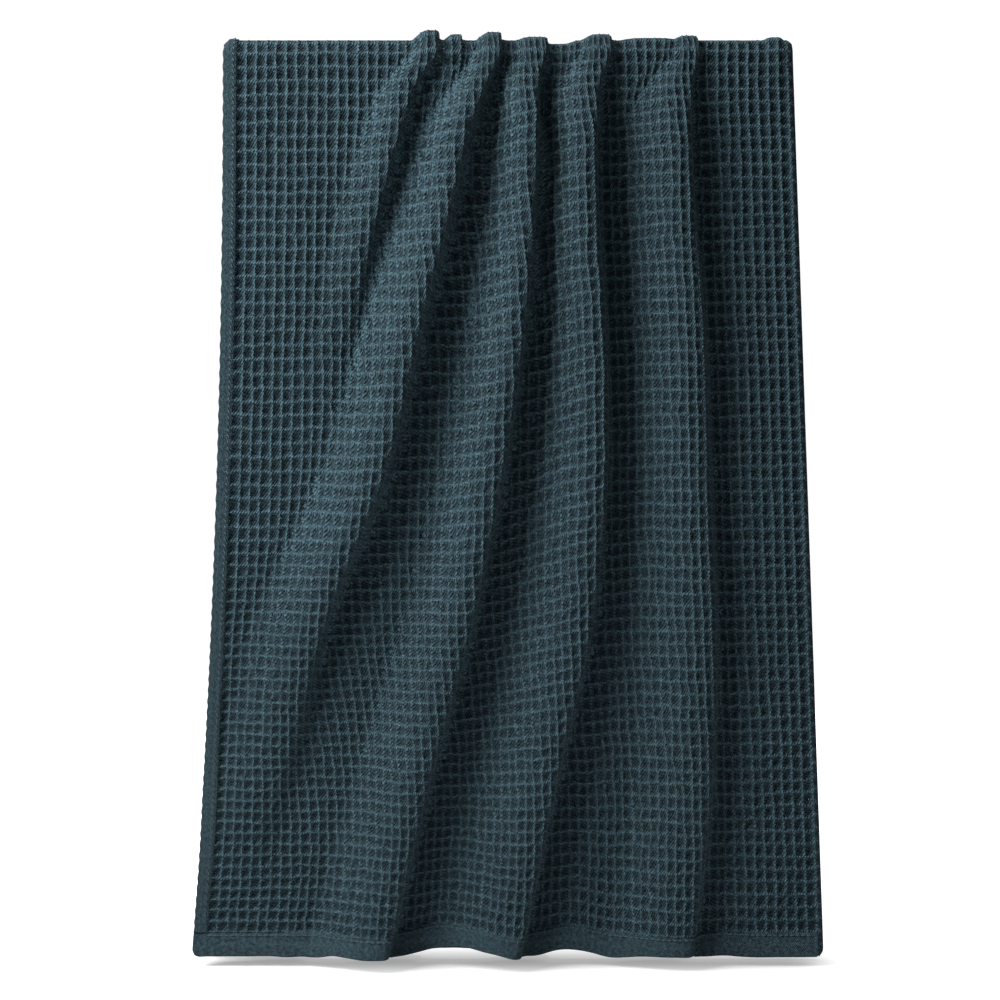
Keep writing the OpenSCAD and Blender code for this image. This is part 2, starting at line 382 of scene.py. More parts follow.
def taken_up(half, rise, lean):
    """Cloth that one pleat takes up beyond its own width."""
    slope = wave_of(np.linspace(-0.98, 0.98, 61), ROUND)[1] * rise / half
    run = np.sqrt((1 + lean * slope) ** 2 + slope ** 2)
    return float((run.mean() - 1.0) * 2 * half)


# The front leaf's pleats run on over the rail, so the back leaf starts from the same bumps
OVER_RAIL = tuple(Bump(p.crests[0], 0.0, p.crown_height, p.crown_half) for p in FRONT_PLEATS)
FRONT = Leaf(-1.0, FRONT_PLEATS, FRONT_H, CROWN_BUMPS, 11)
BACK = Leaf(1.0, BACK_PLEATS, BACK_H, OVER_RAIL + CROWN_BUMPS, 23)


def drop_share(q):
    """Share of the drop at q down the cloth."""
    return np.maximum(q - QUARTER, 0.0) / DROP


def right_edge(q):
    """x of the folded edge."""
    t = drop_share(q)
    return TOP_HALF + (HEM_HALF - TOP_HALF) * t


def left_edge(q):
    """x of the side hem's free edge."""
    t = drop_share(q)
    return -TOP_HALF - (HEM_HALF - TOP_HALF) * t ** FLARE


def drawn_up(leaf, x, q):
    """How far the foot of the front leaf is pulled up beside its pleats."""
    pull = 0.0 * x
    if leaf.side > 0:
        return pull
    for place, half, height in DRAWN:
        near = np.minimum(np.abs(x - place) / half, 1.0)
        pull = pull + height * (0.5 + 0.5 * np.cos(np.pi * near))
    return pull * ramp((q / (DROP + 0.0245) - 0.72) / 0.28)


def row_depth(share, column_share, total):
    """Way down the cloth of a row, as rows are closer together low on the left."""
    left = np.interp(share, (0.0, 0.52, 0.60, 1.0), (0.0, 0.575, 0.650, 1.0))
    pull = 1.0 - ramp((column_share - 0.35) / 0.4)
    return total * (share * (1.0 - pull) + left * pull)


def bend_over(side, radius, x, height, q):
    """Point of the cloth at a height above its base radius, q down from the crown."""
    angle = np.clip(q / QUARTER, 0.0, 1.0) * math.pi / 2
    below = np.maximum(q - QUARTER, 0.0)
    h = radius + height
    return np.stack([x, side * h * np.sin(angle), h * np.cos(angle) - below], axis=-1)


def lattice(count, steps):
    """Cell numbers of the mesh lines of a row of cells."""
    values = [i + s for i in range(count) for s in steps]
    values.append(float(count))
    return np.array(values)


def ply_surface(leaf, inner, columns, rows, side_hem, hem, fine, seed):
    """The whole visible surface of one ply, on a grid that follows its ribs."""
    steps = CELL_STEPS if fine else COARSE_STEPS
    u = lattice(columns, steps)
    v = lattice(rows, steps)
    total = TOTAL - hem - (INNER_LIFT if inner else 0.0)
    q_levels = np.concatenate((np.linspace(0, 0.12, 60), np.linspace(0.125, total, 160)))
    from_x = lambda q: left_edge(q) + side_hem
    to_x = lambda q: right_edge(q) - FOLD_IN
    table = leaf.across(u / columns, q_levels, from_x, to_x)
    uu, vv = np.meshgrid(u, v, indexing="ij")
    jitter = 0.10 * value_noise(uu * 0.23 + 3.0, vv * 0.31, seed)
    jitter += 0.07 * value_noise(uu * 0.9 + 5.0, vv * 1.0 + 1.0, seed + 9)
    jitter *= np.clip(vv / 4, 0, 1)
    jitter *= np.clip((rows - vv) / 4, 0, 1)
    q = row_depth((vv + jitter) / rows, uu / columns, total)
    x = np.zeros_like(q)
    for i in range(len(u)):
        x[i] = np.interp(q[i], q_levels, table[i])
    wander = np.zeros_like(x)
    for amount, down, down_0, along, along_0, extra in WANDER:
        wander += amount * value_noise(vv * down + down_0, uu * along + along_0, seed + extra)
    x += wander * np.clip(uu / 3, 0, 1) * np.clip((columns - uu) / 3, 0, 1)
    up, slope, shift, _ = leaf.lift(x, q)
    pressed = 1.0 - 0.6 * ramp(-slope / 0.8)
    share = INNER_SHARE if inner else 1.0
    ripple = 0.0009 * value_noise(uu * 0.17, vv * 0.13 + 5.0, seed + 2) * np.clip(vv / 6, 0, 1)
    ripple *= 0.0 if inner else 1.0
    radius = RAIL_R if inner else OUTER_R
    points = bend_over(leaf.side, radius, x + share * shift, share * up + ripple, q)
    points[..., 2] += share * drawn_up(leaf, x, q)
    normals = outward(points, leaf.side, inner)
    reach = np.linalg.norm(np.diff(points, axis=0), axis=-1) / np.diff(u)[:, None]
    reach = np.concatenate((reach, reach[-1:]), axis=0)
    pressed *= np.clip(reach / CELL_WIDTH, 0.45, 1.05)
    return u, v, points, normals, pressed


def outward(points, side, inner):
    """Unit normals of the visible face: away from the rail on an outer ply, else towards it."""
    across = np.gradient(points, axis=0)
    down = np.gradient(points, axis=1)
    n = np.cross(across, down)
    n /= np.maximum(np.linalg.norm(n, axis=-1, keepdims=True), 1e-12)
    mid = n[n.shape[0] // 2, -2]
    want = side if not inner else -side
    if mid[1] * want < 0:
        n = -n
    return n


# ---------------------------------------------------------------- mesh code


def stitch_edges(a, pa, b, pb):
    """Triangles between two rows of vertices a and b whose places along the edge are pa and pb."""
    faces = []
    i = 0
    j = 0
    while i < len(a) - 1 or j < len(b) - 1:
        step_a = j == len(b) - 1 or (i < len(a) - 1 and pa[i + 1] <= pb[j + 1])
        if step_a:
            faces.append((a[i], a[i + 1], b[j]))
            i += 1
        else:
            faces.append((a[i], b[j + 1], b[j]))
            j += 1
    return faces


def quads(index):
    """The quads between the rows of a grid of vertex numbers."""
    a = index[:-1, :-1].ravel()
    b = index[1:, :-1].ravel()
    c = index[1:, 1:].ravel()
    d = index[:-1, 1:].ravel()
    return np.stack([a, b, c, d], axis=-1)


def closed_sheet(name, points, normals, cell_u, cell_v, relief, thickness, keep_u, keep_v):
    """A closed sheet: a fine visible face, a coarse hidden one at its thickness, and four rims."""
    nu, nv = points.shape[:2]
    front = np.arange(nu * nv).reshape(nu, nv)
    bu = np.array(keep_u)
    bv = np.array(keep_v)
    rear_points = points[np.ix_(bu, bv)] - normals[np.ix_(bu, bv)] * thickness
    rear = nu * nv + np.arange(len(bu) * len(bv)).reshape(len(bu), len(bv))
    co = np.concatenate([points.reshape(-1, 3), rear_points.reshape(-1, 3)])
    no = np.concatenate([normals.reshape(-1, 3), np.zeros((rear.size, 3))])
    uu, vv = np.meshgrid(cell_u, cell_v, indexing="ij")
    cell = np.stack([uu, vv, relief * np.ones_like(uu)], axis=-1)
    rear_cell = cell[np.ix_(bu, bv)].copy()
    rear_cell[..., 2] = 0.0
    cells = np.concatenate([cell.reshape(-1, 3), rear_cell.reshape(-1, 3)])
    across = points[-1, 0] - points[0, 0]
    down = points[0, -1] - points[0, 0]
    flip = np.dot(np.cross(across, down), normals[nu // 2, nv // 2]) < 0
    rims = []
    for line in (0, -1):
        strip = stitch_edges(list(front[:, line]), list(range(nu)), list(rear[:, line]), list(bu))
        rims += strip if line == 0 else [f[::-1] for f in strip]
        strip = stitch_edges(list(front[line, :]), list(range(nv)), list(rear[line, :]), list(bv))
        rims += [f[::-1] for f in strip] if line == 0 else strip
    polys = [tuple(f) for f in quads(front).tolist() + quads(rear)[:, ::-1].tolist()]
    polys += [tuple(f[::-1]) for f in rims]
    if flip:
        polys = [f[::-1] for f in polys]
    mesh = bpy.data.meshes.new(name)
    mesh.from_pydata(co.tolist(), [], polys)
    put(mesh, "cell", cells)
    put(mesh, "cloth_n", no)
    mesh.shade_smooth()
    return add_object(name, mesh)


def add_object(name, data):
    """A new object in the scene."""
    obj = bpy.data.objects.new(name, data)
    bpy.context.scene.collection.objects.link(obj)
    return obj


def put(mesh, name, values):
    """Stores a vector on each vertex."""
    found = mesh.attributes.new(name, "FLOAT_VECTOR", "POINT")
    found.data.foreach_set("vector", np.asarray(values, np.float32).ravel())


# ---------------------------------------------------------------- node trees


def socket_id(tree, name):
    """Identifier of a tree's named input."""
    return [i.identifier for i in tree.interface.items_tree if i.name == name and i.in_out == "INPUT"][0]


class Graph:
    """Short ways to add and link nodes in a tree."""

    def __init__(self, tree):
        self.tree = tree

    def node(self, kind, **settings):
        made = self.tree.nodes.new(kind)
        for key, value in settings.items():
            setattr(made, key, value)
        return made

    def link(self, source, target):
        self.tree.links.new(source, target)

    def feed(self, target, value):
        if isinstance(value, bpy.types.NodeSocket):
            self.link(value, target)
        else:
            target.default_value = value

    def math(self, operation, a, b=0.0, c=0.0):
        made = self.node("ShaderNodeMath", operation=operation)
        self.feed(made.inputs[0], a)
        self.feed(made.inputs[1], b)
        self.feed(made.inputs[2], c)
        return made.outputs[0]

    def vector(self, operation, a, b=None, scale=None):
        made = self.node("ShaderNodeVectorMath", operation=operation)
        self.feed(made.inputs[0], a)
        if b is not None:
            self.feed(made.inputs[1], b)
        if scale is not None:
            self.feed(made.inputs["Scale"], scale)
        return made.outputs[0]

    def ridge(self, place, power):
        """1 on a rib line, which is each whole number, and 0 half way between two."""
        near = self.math("FRACT", self.math("ADD", place, 0.5))
        far = self.math("MULTIPLY", self.math("ABSOLUTE", self.math("SUBTRACT", near, 0.5)), 2.0)
        return self.math("POWER", self.math("SUBTRACT", 1.0, far), power)

    def beads(self, points, segments, rings, turn, size):
        """A small ball on each point, turned and drawn out to a size."""
        ball = self.node("GeometryNodeMeshUVSphere")
        ball.inputs["Segments"].default_value = segments
        ball.inputs["Rings"].default_value = rings
        ball.inputs["Radius"].default_value = 0.5
        spread = self.node("GeometryNodeInstanceOnPoints")
        self.link(points, spread.inputs["Points"])
        self.link(ball.outputs["Mesh"], spread.inputs["Instance"])
        self.link(turn, spread.inputs["Rotation"])
        self.link(size, spread.inputs["Scale"])
        return spread.outputs["Instances"]

    def noise(self, place, scale, detail=2.0, roughness=0.5):
        made = self.node("ShaderNodeTexNoise")
        self.link(place, made.inputs["Vector"])
        made.inputs["Scale"].default_value = scale
        made.inputs["Detail"].default_value = detail
        made.inputs["Roughness"].default_value = roughness
        return made.outputs[0]

    def blend(self, share, low, high):
        """A colour between two."""
        made = self.node("ShaderNodeMix", data_type="RGBA")
        self.link(share, made.inputs[0])
        made.inputs[6].default_value = (*low, 1.0)
        made.inputs[7].default_value = (*high, 1.0)
        return made.outputs[2]

    def bump(self, height, strength, distance, target):
        """Relief on a shader's normal socket."""
        made = self.node("ShaderNodeBump")
        made.inputs["Strength"].default_value = strength
        made.inputs["Distance"].default_value = distance
        self.link(height, made.inputs["Height"])
        self.link(made.outputs[0], target)


def new_tree(name, inputs):
    """A geometry tree with named inputs. Returns it with its graph and its two ends."""
    tree = bpy.data.node_groups.new(name, "GeometryNodeTree")
    face = tree.interface
    face.new_socket("Geometry", in_out="INPUT", socket_type="NodeSocketGeometry")
    for label, kind, default in inputs:
        face.new_socket(label, in_out="INPUT", socket_type=f"NodeSocket{kind}").default_value = default
    face.new_socket("Material", in_out="INPUT", socket_type="NodeSocketMaterial")
    face.new_socket("Geometry", in_out="OUTPUT", socket_type="NodeSocketGeometry")
    g = Graph(tree)
    return tree, g, g.node("NodeGroupInput"), g.node("NodeGroupOutput")


def waffle_tree():
    """Presses waffle pits into a sheet along its own normals. Ribs lie on whole cell numbers."""
    inputs = (("Rib sharpness", "Float", 3.0), ("Irregularity", "Float", 0.22), ("Seed", "Float", 0.0))
    tree, g, given, result = new_tree("Waffle Relief", inputs)
    cell = g.node("GeometryNodeInputNamedAttribute", data_type="FLOAT_VECTOR")
    cell.inputs["Name"].default_value = "cell"
    normal = g.node("GeometryNodeInputNamedAttribute", data_type="FLOAT_VECTOR")
    normal.inputs["Name"].default_value = "cloth_n"
    parts = g.node("ShaderNodeSeparateXYZ")
    g.link(cell.outputs[0], parts.inputs[0])
    ridge_u = g.ridge(parts.outputs[0], given.outputs["Rib sharpness"])
    ridge_v = g.ridge(parts.outputs[1], given.outputs["Rib sharpness"])
    pit = g.math("MULTIPLY", g.math("SUBTRACT", 1.0, ridge_u), g.math("SUBTRACT", 1.0, ridge_v))
    rib = g.math("SUBTRACT", 1.0, pit)
    noise = g.node("ShaderNodeTexNoise", noise_dimensions="4D")
    g.link(g.vector("MULTIPLY", cell.outputs[0], (0.8, 0.8, 0.0)), noise.inputs["Vector"])
    g.link(given.outputs["Seed"], noise.inputs["W"])
    noise.inputs["Scale"].default_value = 1.0
    noise.inputs["Detail"].default_value = 2.0
    uneven = g.math("MULTIPLY", g.math("SUBTRACT", noise.outputs[0], 0.5), given.outputs["Irregularity"])
    level = g.math("ADD", g.math("SUBTRACT", rib, 1.0), uneven)
    depth = g.math("MULTIPLY", level, parts.outputs[2])
    move = g.node("GeometryNodeSetPosition")
    g.link(given.outputs["Geometry"], move.inputs["Geometry"])
    g.link(g.vector("SCALE", normal.outputs[0], scale=depth), move.inputs["Offset"])
    # Keeps the rib share, which the cloth material uses to paint shade into the pits
    keep = g.node("GeometryNodeStoreNamedAttribute", data_type="FLOAT", domain="POINT")
    keep.inputs["Name"].default_value = "rib"
    g.link(move.outputs["Geometry"], keep.inputs["Geometry"])
    g.link(rib, keep.inputs["Value"])
    finish_tree(g, keep.outputs["Geometry"], given, result)
    return tree


def finish_tree(g, geometry, given, result):
    """Ends a tree in plain geometry with its material."""
    real = g.node("GeometryNodeRealizeInstances")
    paint = g.node("GeometryNodeSetMaterial")
    g.link(geometry, real.inputs["Geometry"])
    g.link(real.outputs["Geometry"], paint.inputs["Geometry"])
    g.link(given.outputs["Material"], paint.inputs["Material"])
    g.link(paint.outputs["Geometry"], result.inputs["Geometry"])


def stitch_tree():
    """Puts one twisted stitch on each point, turned to the point's own direction."""
    inputs = (("Stitch length", "Float", 0.0036), ("Thread width", "Float", 0.0010))
    tree, g, given, result = new_tree("Stitch Run", inputs)
    size = g.node("ShaderNodeCombineXYZ")
    g.link(given.outputs["Stitch length"], size.inputs[0])
    g.link(given.outputs["Thread width"], size.inputs[1])
    g.link(given.outputs["Thread width"], size.inputs[2])
    along = g.node("GeometryNodeInputNamedAttribute", data_type="FLOAT_VECTOR")
    along.inputs["Name"].default_value = "along"
    turn = g.node("FunctionNodeAlignEulerToVector", axis="X")
    g.link(along.outputs[0], turn.inputs["Vector"])
    beads = g.beads(given.outputs["Geometry"], 8, 6, turn.outputs[0], size.outputs[0])
    finish_tree(g, beads, given, result)
    return tree


def lint_tree():
    """Scatters short loose fibres over a sheet."""
    inputs = (
        ("Flecks each square metre", "Float", 260.0), ("Fleck size", "Float", 0.0012), ("Seed", "Int", 3),
    )
    tree, g, given, result = new_tree("Lint", inputs)
    scatter = g.node("GeometryNodeDistributePointsOnFaces")
    g.link(given.outputs["Geometry"], scatter.inputs["Mesh"])
    g.link(given.outputs["Flecks each square metre"], scatter.inputs["Density"])
    g.link(given.outputs["Seed"], scatter.inputs["Seed"])
    spin = g.node("FunctionNodeRandomValue", data_type="FLOAT_VECTOR")
    spin.inputs[1].default_value = (6.28, 6.28, 6.28)
    g.link(given.outputs["Seed"], spin.inputs["Seed"])
    size = g.node("ShaderNodeCombineXYZ")
    g.link(given.outputs["Fleck size"], size.inputs[0])
    for axis in (1, 2):
        g.link(g.math("MULTIPLY", given.outputs["Fleck size"], 0.35), size.inputs[axis])
    beads = g.beads(scatter.outputs["Points"], 6, 4, spin.outputs[0], size.outputs[0])
    finish_tree(g, beads, given, result)
    return tree


def bake_tree(obj, tree, values, material):
    """Runs a node tree on an object and keeps the result as a plain mesh."""
    made = obj.modifiers.new("Tree", "NODES")
    made.node_group = tree
    for name, value in values.items():
        made[socket_id(tree, name)] = value
    made[socket_id(tree, "Material")] = material
    bpy.context.view_layer.update()
    evaluated = obj.evaluated_get(bpy.context.evaluated_depsgraph_get())
    mesh = bpy.data.meshes.new_from_object(evaluated)
    mesh.name = obj.name
    obj.modifiers.clear()
    old = obj.data
    obj.data = mesh
    bpy.data.meshes.remove(old)
    mesh.shade_smooth()


# ---------------------------------------------------------------- materials


def new_material(name, shader):
    """A node material with one shader on its surface, with its graph and that shader."""
    made = bpy.data.materials.new(name)
    made.use_nodes = True
    made.node_tree.nodes.clear()
    g = Graph(made.node_tree)
    skin = g.node(shader)
    g.link(skin.outputs[0], g.node("ShaderNodeOutputMaterial").inputs["Surface"])
    return made, g, skin


def cloth_material(name, rib_colour, shaded_pit_colour, weave):
    """Cotton yarn: ribs lighter than pits, where the darker pit colour is painted shade, slow and fine
    colour variation, and twisted yarn in relief.
    """
    made, g, skin = new_material(name, "ShaderNodeBsdfPrincipled")
    cell = g.node("ShaderNodeAttribute", attribute_name="cell")
    rib = g.node("ShaderNodeAttribute", attribute_name="rib")
    place = g.node("ShaderNodeTexCoord")
    flat = g.vector("MULTIPLY", cell.outputs["Vector"], (CELL_WIDTH, CELL_HEIGHT, 0.0))

    slow = g.noise(place.outputs["Object"], 9.0, detail=3.0)
    fine = g.noise(flat, 360.0, detail=4.0, roughness=0.7)
    mid = g.noise(flat, 230.0)

    # Mix of pit and rib colour by rib share: painted shade in the pits
    base = g.blend(rib.outputs["Fac"], shaded_pit_colour, rib_colour)
    parts = g.node("ShaderNodeSeparateXYZ")
    g.link(flat, parts.inputs[0])
    twist = g.math("ADD", parts.outputs[0], g.math("MULTIPLY", parts.outputs[1], 0.62))
    bent = g.math("ADD", twist, g.math("MULTIPLY", mid, 0.0011))
    yarn = g.math("SINE", g.math("MULTIPLY", bent, 2 * math.pi / weave))
    cross = g.math("SUBTRACT", parts.outputs[1], g.math("MULTIPLY", parts.outputs[0], 0.35))
    pick = g.math("SINE", g.math("MULTIPLY", cross, 2 * math.pi / (weave * 1.25)))
    height = g.math("ADD", g.math("MULTIPLY", yarn, 0.5), g.math("MULTIPLY", pick, 0.35))
    height = g.math("ADD", height, g.math("MULTIPLY", fine, 1.3))
    g.bump(height, 1.0, 0.0009, skin.inputs["Normal"])

    shade = -1.70
    for part, share in ((fine, 4.30), (yarn, 0.22), (pick, 0.16), (mid, 1.00), (slow, 0.30)):
        shade = g.math("ADD", shade, g.math("MULTIPLY", part, share))
    shade = g.math("MAXIMUM", shade, 0.12)
    g.link(g.vector("SCALE", base, scale=shade), skin.inputs["Base Color"])

    skin.inputs["Roughness"].default_value = 0.92
    skin.inputs["Specular IOR Level"].default_value = 0.18
    skin.inputs["Sheen Weight"].default_value = 0.12
    skin.inputs["Sheen Roughness"].default_value = 0.45
    skin.inputs["Sheen Tint"].default_value = (0.55, 0.75, 0.85, 1.0)
    return made


def thread_material(name, colour):
    """Twisted cotton thread, also used for loose fibres."""
    made, g, skin = new_material(name, "ShaderNodeBsdfPrincipled")
    place = g.node("ShaderNodeTexCoord")
    noise = g.noise(place.outputs["Object"], 1400.0)
    paint = g.blend(noise, [c * 0.75 for c in colour], [c * 1.2 for c in colour])
    g.link(paint, skin.inputs["Base Color"])
    g.bump(noise, 0.5, 0.0002, skin.inputs["Normal"])
    skin.inputs["Roughness"].default_value = 0.7
    skin.inputs["Sheen Weight"].default_value = 0.15
    return made


def material(settings, kind):
    """One of the throw's materials, made on first use."""
    names = {"cloth": "Waffle cloth", "hem": "Hem cloth", "thread": "Sewing thread", "lint": "Lint"}
    found = bpy.data.materials.get(names[kind])
    if found:
        return found
    if kind == "cloth":
        return cloth_material(names[kind], settings.rib_colour, settings.shaded_pit_colour, 0.0023)
    if kind == "hem":
        # The hem's sunk colour is mostly the shaded pit colour: painted shade in its pits
        pair = list(zip(settings.rib_colour, settings.shaded_pit_colour))
        raised = [0.72 * a + 0.28 * b for a, b in pair]
        sunk_shaded_colour = [0.48 * a + 0.52 * b for a, b in pair]
        return cloth_material(names[kind], raised, sunk_shaded_colour, 0.0015)
    if kind == "lint":
        return thread_material(names[kind], settings.lint_colour)
    return thread_material(names[kind], settings.thread_colour)


def tree_named(name, maker):
    """A node tree, made on first use."""
    return bpy.data.node_groups.get(name) or maker()


# ---------------------------------------------------------------- building


def hang(obj):
    """Bakes the object's transform into its mesh, and leaves it unparented."""
    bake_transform(obj)


def waffle(obj, settings, seed, kind="cloth"):
    """Presses the waffle into a piece and gives it its cloth."""
    values = {"Rib sharpness": settings.sharpness, "Irregularity": 0.22, "Seed": float(seed)}
    bake_tree(obj, tree_named("Waffle Relief", waffle_tree), values, material(settings, kind))


def build_ply(settings, leaf, inner, panels, nodes):
    """One ply of a leaf, cut along rib lines into panels."""
    columns = settings.columns
    rows = settings.rows
    fine = not inner
    steps = len(CELL_STEPS) if fine else len(COARSE_STEPS)
    seed = leaf.seed + (5 if inner else 0)
    u, v, points, normals, pressed = ply_surface(
        leaf, inner, columns, rows, settings.side_hem, settings.hem, fine, seed
    )
    name = nodes[1]
    cuts = [round(i * columns / panels) for i in range(panels + 1)]
    if not inner:
        build_lint(settings, f"{name}_lint", points[::steps, ::steps], leaf, nodes)
    for number in range(panels):
        low, high = cuts[number] * steps, cuts[number + 1] * steps
        part = slice(low, high + 1)
        keep_u = list(range(0, high - low + 1, steps))
        keep_v = list(range(0, len(v), steps))
        obj = closed_sheet(
            f"{name}_cloth_{number + 1}", points[part], normals[part], u[part], v,
            settings.relief * pressed[part], CLOTH_T, keep_u, keep_v,
        )
        waffle(obj, settings, seed)
        hang(obj)
        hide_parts(*nodes)


def build_lint(settings, name, points, leaf, nodes):
    """Loose fibres on the face of an outer ply."""
    index = np.arange(points.shape[0] * points.shape[1]).reshape(points.shape[:2])
    mesh = bpy.data.meshes.new(name)
    mesh.from_pydata(points.reshape(-1, 3).tolist(), [], [tuple(f) for f in quads(index).tolist()])
    obj = add_object(name, mesh)
    values = {"Flecks each square metre": settings.lint, "Fleck size": 0.0012, "Seed": leaf.seed}
    bake_tree(obj, tree_named("Lint", lint_tree), values, material(settings, "lint"))
    hang(obj)
    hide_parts(*nodes)


class THROW_OT_front_outer(bpy.types.Operator):
    """Build the outer ply of the front leaf"""

    bl_idname = "throw.front_outer"
    bl_label = "Front outer ply"

    def execute(self, context):
        build_ply(context.scene.throw, FRONT, False, 3, ("top_fold_outer", "front_outer_ply"))
        return {"FINISHED"}


class THROW_OT_front_inner(bpy.types.Operator):
    """Build the inner ply of the front leaf"""

    bl_idname = "throw.front_inner"
    bl_label = "Front inner ply"

    def execute(self, context):
        build_ply(context.scene.throw, FRONT, True, 1, ("top_fold_inner", "front_inner_ply"))
        return {"FINISHED"}


class THROW_OT_back_outer(bpy.types.Operator):
    """Build the outer ply of the back leaf"""

    bl_idname = "throw.back_outer"
    bl_label = "Back outer ply"

    def execute(self, context):
        build_ply(context.scene.throw, BACK, False, 3, ("top_fold_outer", "back_outer_ply"))
        return {"FINISHED"}


class THROW_OT_back_inner(bpy.types.Operator):
    """Build the inner ply of the back leaf"""

    bl_idname = "throw.back_inner"
    bl_label = "Back inner ply"

    def execute(self, context):
        build_ply(context.scene.throw, BACK, True, 1, ("top_fold_inner", "back_inner_ply"))
        return {"FINISHED"}


def strip_grid(leaf, inner, q, across_from, across_to, count, depth_of):
    """A narrow strip down the leaf's edge: across it x runs between two lines, with a height profile."""
    share = np.linspace(0.0, 1.0, count)
    qq = np.broadcast_to(q, (count, len(q)))
    xx = across_from(qq) + (across_to(qq) - across_from(qq)) * share[:, None]
    up, _, shift, _ = leaf.lift(xx, qq)
    k = INNER_SHARE if inner else 1.0
    radius = RAIL_R if inner else OUTER_R
    extra = depth_of(share[:, None], qq)
    extra = extra if not inner else -extra
    points = bend_over(leaf.side, radius, xx + k * shift, k * up + extra, qq)
    return points, outward(points, leaf.side, inner)


def build_side_hem(settings, leaf, inner, node):
    """The side hem: cloth turned under and sewn, so thicker, with a scalloped free edge."""
    total = TOTAL - settings.hem
    v = lattice(settings.rows * 2, COARSE_STEPS)
    q = row_depth(v / (settings.rows * 2), np.zeros_like(v), total)
    scallop = lambda qq: 0.0003 * np.cos(2 * np.pi * np.broadcast_to(v / 2, qq.shape))
    start = lambda qq: left_edge(qq) - scallop(qq)
    end = lambda qq: left_edge(qq) + settings.side_hem + 0.0003
    crown = lambda s, qq: (
        0.0004 + 0.0010 * np.sin(np.pi * np.clip(s, 0.02, 0.98)) ** 0.5
        - 0.0045 * np.clip(1.0 - 1.6 * s, 0.0, 1.0) ** 2.5 * (1.0 - ramp(qq / 0.03))
    )
    points, normals = strip_grid(leaf, inner, q, start, end, HEM_LINES, crown)
    cells_u = np.linspace(0.0, 3.0, HEM_LINES)
    obj = closed_sheet(
        f"{node}_cloth", points, normals, cells_u, v / 2, 0.0005, SIDE_HEM_T,
        list(range(0, HEM_LINES, 3)), list(range(0, len(v), len(COARSE_STEPS))),
    )
    waffle(obj, settings, leaf.seed + 31, "hem")
    hang(obj)
    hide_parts(node)


def build_bottom_hem(settings, leaf, inner, node, lift):
    """The bottom hem: cloth turned under and sewn along the foot of a ply."""
    top = TOTAL - settings.hem - lift
    foot = TOTAL - lift
    depth = np.linspace(0.0, 1.0, HEM_LINES)
    columns = settings.columns * HEM_COLUMNS
    u = np.linspace(0.0, 1.0, columns + 1)
    levels = np.array([top, TOTAL])
    to_x = lambda q: right_edge(q) - FOLD_IN
    table = leaf.across(u, levels, left_edge, to_x)
    uu, dd = np.meshgrid(u, depth, indexing="ij")
    q = top + (foot - top) * dd
    x = np.zeros_like(q)
    for i in range(len(u)):
        x[i] = np.interp(q[i], levels, table[i])
    wave = 0.0006 * value_noise(uu * 41.0, np.full_like(dd, 2.0), leaf.seed + 3)
    up, _, _, _ = leaf.lift(x, q)
    lower = 0.0 if inner else HEM_LOWER
    wave += lower * (1.0 - ramp(up / 0.016))
    for edge, corner in zip((x - left_edge(q), to_x(q) - x), CORNERS):
        near = np.clip(1.0 - edge / corner, 0.0, 1.0)
        wave -= corner * (1.0 - np.sqrt(1.0 - near ** 2)) * 0.8
    q = q + wave * dd
    up, _, shift, _ = leaf.lift(x, q)
    k = INNER_SHARE if inner else 1.0
    radius = RAIL_R if inner else OUTER_R
    round_off = 0.0012 * np.sqrt(np.clip(1.0 - (2 * dd - 1.0) ** 4, 0.0, 1.0)) - 0.0002
    extra = round_off if not inner else -round_off
    points = bend_over(leaf.side, radius, x + k * shift, k * up + extra, q)
    points[..., 2] += k * drawn_up(leaf, x, q)
    normals = outward(points, leaf.side, inner)
    obj = closed_sheet(
        f"{node}_cloth", points, normals, u * settings.columns, depth * 2.0, 0.0006, HEM_T,
        list(range(0, columns + 1, HEM_COLUMNS)), list(range(0, HEM_LINES, 4)),
    )
    waffle(obj, settings, leaf.seed + 41, "hem")
    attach(obj, "front_leaf" if leaf.side < 0 else "back_leaf")
    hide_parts(node)


def build_side_fold(settings, leaf, node):
    """The lengthwise fold at the right edge: cloth turned from the outer ply round to the inner one."""
    lower = FOLD_LOWER if leaf.side < 0 else 0.0
    v = lattice(settings.rows, CELL_STEPS)
    q = row_depth(v / settings.rows, np.ones_like(v), TOTAL + lower)
    count = 17
    turn = np.linspace(0.0, math.pi, count)[:, None]
    mid = (OUTER_R + RAIL_R) / 2
    half = (OUTER_R - RAIL_R) / 2
    qq = np.broadcast_to(q, (count, len(q)))
    foot = np.clip((qq - q[-1]) / CORNERS[0] + 1.0, 0.0, 0.97)
    core = right_edge(qq) - FOLD_IN
    x = core + FOLD_OUT * np.sin(turn) * np.sqrt(1.0 - foot ** 2)
    height = mid + half * np.cos(turn) + 0.0 * qq
    points = bend_over(leaf.side, 0.0, x, height, qq)
    normals = outward_from_core(points, leaf.side, mid, core, qq)
    obj = closed_sheet(
        f"{node}_cloth", points, normals, np.linspace(0.0, 2.0, count), v, 0.0010, FOLD_T,
        list(range(0, count, 4)), list(range(0, len(v), len(CELL_STEPS))),
    )
    waffle(obj, settings, leaf.seed + 51)
    hang(obj)
    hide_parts(node)


def outward_from_core(points, side, mid, x_core, q):
    """Unit normals of the side fold, away from the line it turns round."""
    core = bend_over(side, 0.0, x_core + 0.0 * q, mid + 0.0 * q, q)
    n = points - core
    return n / np.maximum(np.linalg.norm(n, axis=-1, keepdims=True), 1e-9)


